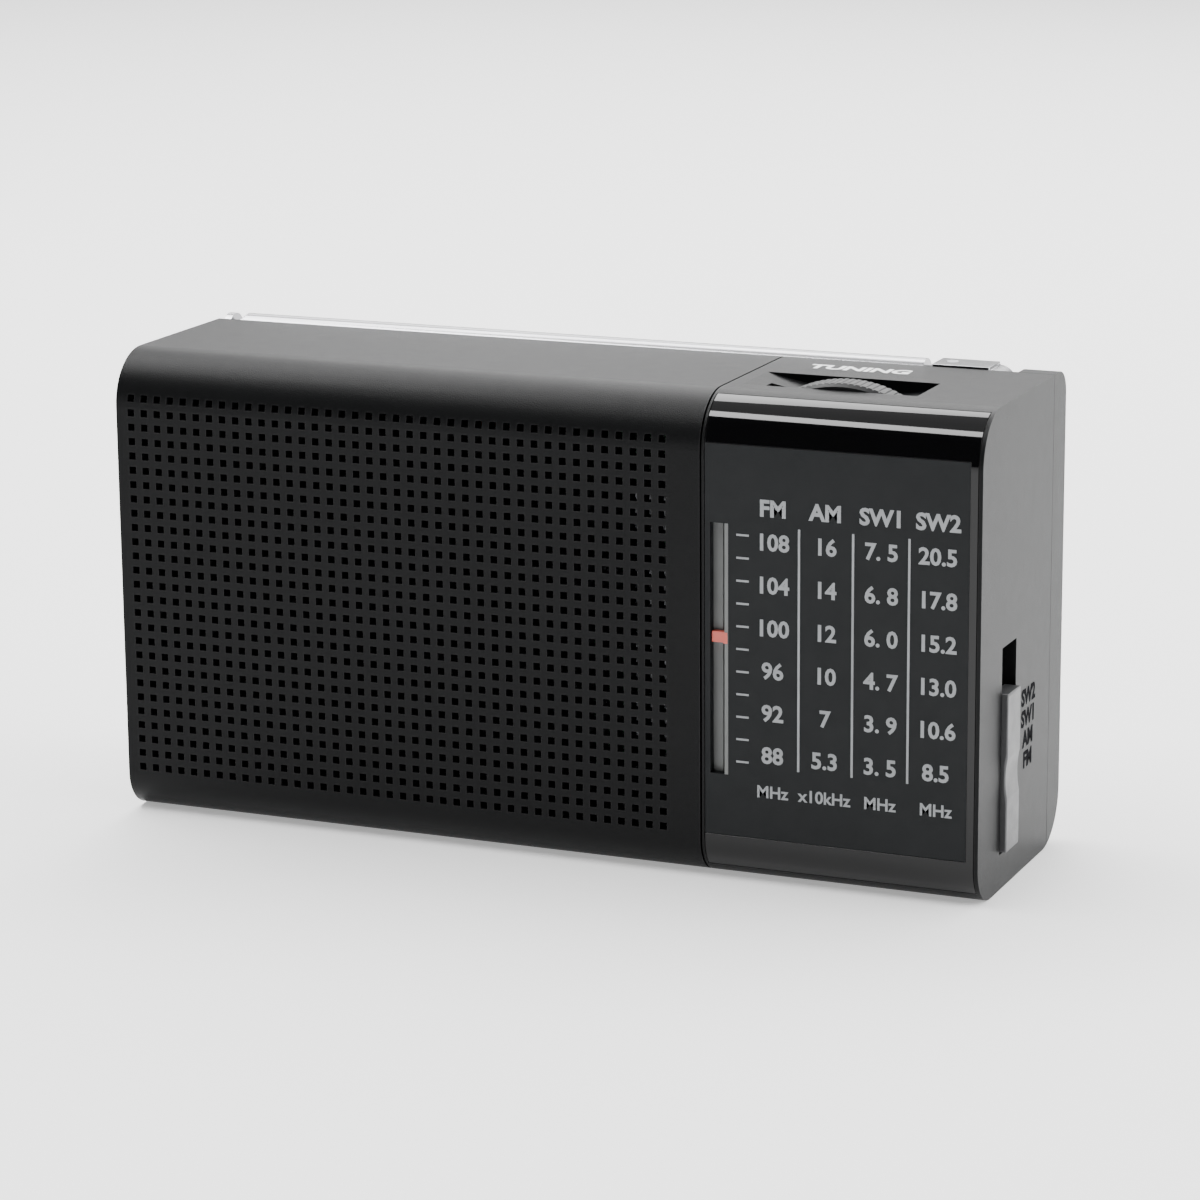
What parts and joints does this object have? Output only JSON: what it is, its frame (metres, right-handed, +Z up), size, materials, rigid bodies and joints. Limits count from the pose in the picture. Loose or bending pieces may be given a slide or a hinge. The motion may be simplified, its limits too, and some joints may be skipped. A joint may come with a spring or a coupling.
{
  "type": "shortwave receiver",
  "caption": "Pocket shortwave receiver: black cabinet with square-hole grille, slide-rule dial, tuning wheel, band slider and folding telescopic antenna.",
  "frame": {"origin": "centre of the bottom face", "axes": "+X right seen from the dial side, +Y to the rear, +Z up"},
  "size_m": [0.1379, 0.039, 0.072],
  "materials": {
    "cabinet": "satin, fine spark texture",
    "lens": "polished black",
    "scale": "satin printed",
    "guide": "satin",
    "pointer": "painted",
    "cord": "braided",
    "nylon": "moulded",
    "knob": "ribbed",
    "slider": "satin",
    "steel": "plated",
    "chrome": "polished",
    "film_capacitor": "moulded",
    "brass": "bare",
    "phenolic": "pressed laminate",
    "board": "solder mask",
    "socket": "moulded",
    "paper": "pressed pulp",
    "magnet": "ferrite and zinc plate",
    "cloth": "woven",
    "capacitor": "sleeved",
    "ferrite": "sintered",
    "coil": "enamelled wire",
    "cell": "printed sleeve"
  },
  "bodies": {
    "cabinet": {"speaker_cabinet": "cabinet", "control_cabinet": "cabinet", "rear_cabinet": "cabinet", "dial_lens": "lens", "dial_scale": "scale", "pointer_guide": "guide", "dial_cord": "cord", "pulley_posts": "steel", "tuning_capacitor": "film_capacitor", "band_switch": "steel", "volume_control": "phenolic", "volume_board": "board", "earphone_jack": "socket", "speaker_basket": "steel", "speaker_cone": "paper", "dust_cap": "paper", "speaker_magnet": "magnet", "grille_cloth": "cloth", "main_board": "board", "radio_chip": "socket", "if_transformers": "steel", "electrolytic_capacitors": "capacitor", "ferrite_rod": "ferrite", "ferrite_coil": "coil", "rod_holders": "nylon", "battery_1": "cell", "battery_2": "cell", "battery_springs": "steel", "battery_contacts": "steel", "antenna_screw": "steel", "cabinet_screws": "steel", "board_screws": "steel"},
    "dial_pointer": {"dial_pointer": "pointer"},
    "pulley_top": {"pulley_top": "nylon"},
    "pulley_bottom": {"pulley_bottom": "nylon"},
    "tuning_wheel": {"tuning_wheel": "knob", "tuning_shaft": "steel"},
    "band_slider": {"band_slider": "slider", "band_wiper": "brass"},
    "volume_wheel": {"volume_wheel": "knob"},
    "battery_door": {"battery_door": "cabinet"},
    "antenna_knuckle": {"antenna_knuckle": "chrome", "antenna_pin": "steel"},
    "antenna_base": {"antenna_root": "chrome"},
    "antenna_2": {"antenna_section_2": "chrome"},
    "antenna_3": {"antenna_section_3": "chrome"},
    "antenna_4": {"antenna_section_4": "chrome"},
    "antenna_5": {"antenna_section_5": "chrome", "antenna_tip": "chrome"}
  },
  "joints": [
    {"name": "tuning_turn", "type": "hinge", "parent": "cabinet", "child": "tuning_wheel", "pos_m": [0.0433, -0.00645, 0.054], "axis": [0, 1, 0], "range_deg": [-99, 81]},
    {"name": "pointer_slide", "type": "slide", "parent": "cabinet", "child": "dial_pointer", "axis": [0, 0, 1], "range_m": [-0.0195, 0.016]},
    {"name": "pulley_top_turn", "type": "hinge", "parent": "cabinet", "child": "pulley_top", "pos_m": [0.03125, -0.0143, 0.062], "axis": [0, 1, 0], "range_deg": [-449.38, 449.38]},
    {"name": "pulley_bottom_turn", "type": "hinge", "parent": "cabinet", "child": "pulley_bottom", "pos_m": [0.03125, -0.0143, 0.0118], "axis": [0, 1, 0], "range_deg": [-449.38, 449.38]},
    {"name": "band_select", "type": "slide", "parent": "cabinet", "child": "band_slider", "axis": [0, 0, 1], "range_m": [0, 0.0066]},
    {"name": "volume_turn", "type": "hinge", "parent": "cabinet", "child": "volume_wheel", "pos_m": [-0.0612, -0.008, 0.048], "axis": [0, 1, 0], "range_deg": [0, 270]},
    {"name": "battery_door_slide", "type": "slide", "parent": "cabinet", "child": "battery_door", "axis": [-1, 0, 0], "range_m": [0, 0.062]},
    {"name": "antenna_swing", "type": "hinge", "parent": "cabinet", "child": "antenna_knuckle", "pos_m": [0.058, 0.017, 0.0684], "axis": [0, 1, 0], "range_deg": [0, 105]},
    {"name": "antenna_tilt", "type": "hinge", "parent": "antenna_knuckle", "child": "antenna_base", "pos_m": [0.0515, 0.017, 0.069], "axis": [0, 0, -1], "range_deg": [0, 90]},
    {"name": "antenna_section_2_slide", "type": "slide", "parent": "antenna_base", "child": "antenna_2", "axis": [-1, 0, 0], "range_m": [0, 0.095]},
    {"name": "antenna_section_3_slide", "type": "slide", "parent": "antenna_2", "child": "antenna_3", "axis": [-1, 0, 0], "range_m": [0, 0.095]},
    {"name": "antenna_section_4_slide", "type": "slide", "parent": "antenna_3", "child": "antenna_4", "axis": [-1, 0, 0], "range_m": [0, 0.095]},
    {"name": "antenna_section_5_slide", "type": "slide", "parent": "antenna_4", "child": "antenna_5", "axis": [-1, 0, 0], "range_m": [0, 0.095]}
  ],
  "couplings": [
    {"joint": "pointer_slide", "follows": "tuning_turn", "m_per_rad": 0.011141},
    {"joint": "pulley_top_turn", "follows": "tuning_turn", "ratio": 4.369},
    {"joint": "pulley_bottom_turn", "follows": "tuning_turn", "ratio": 4.369}
  ]
}
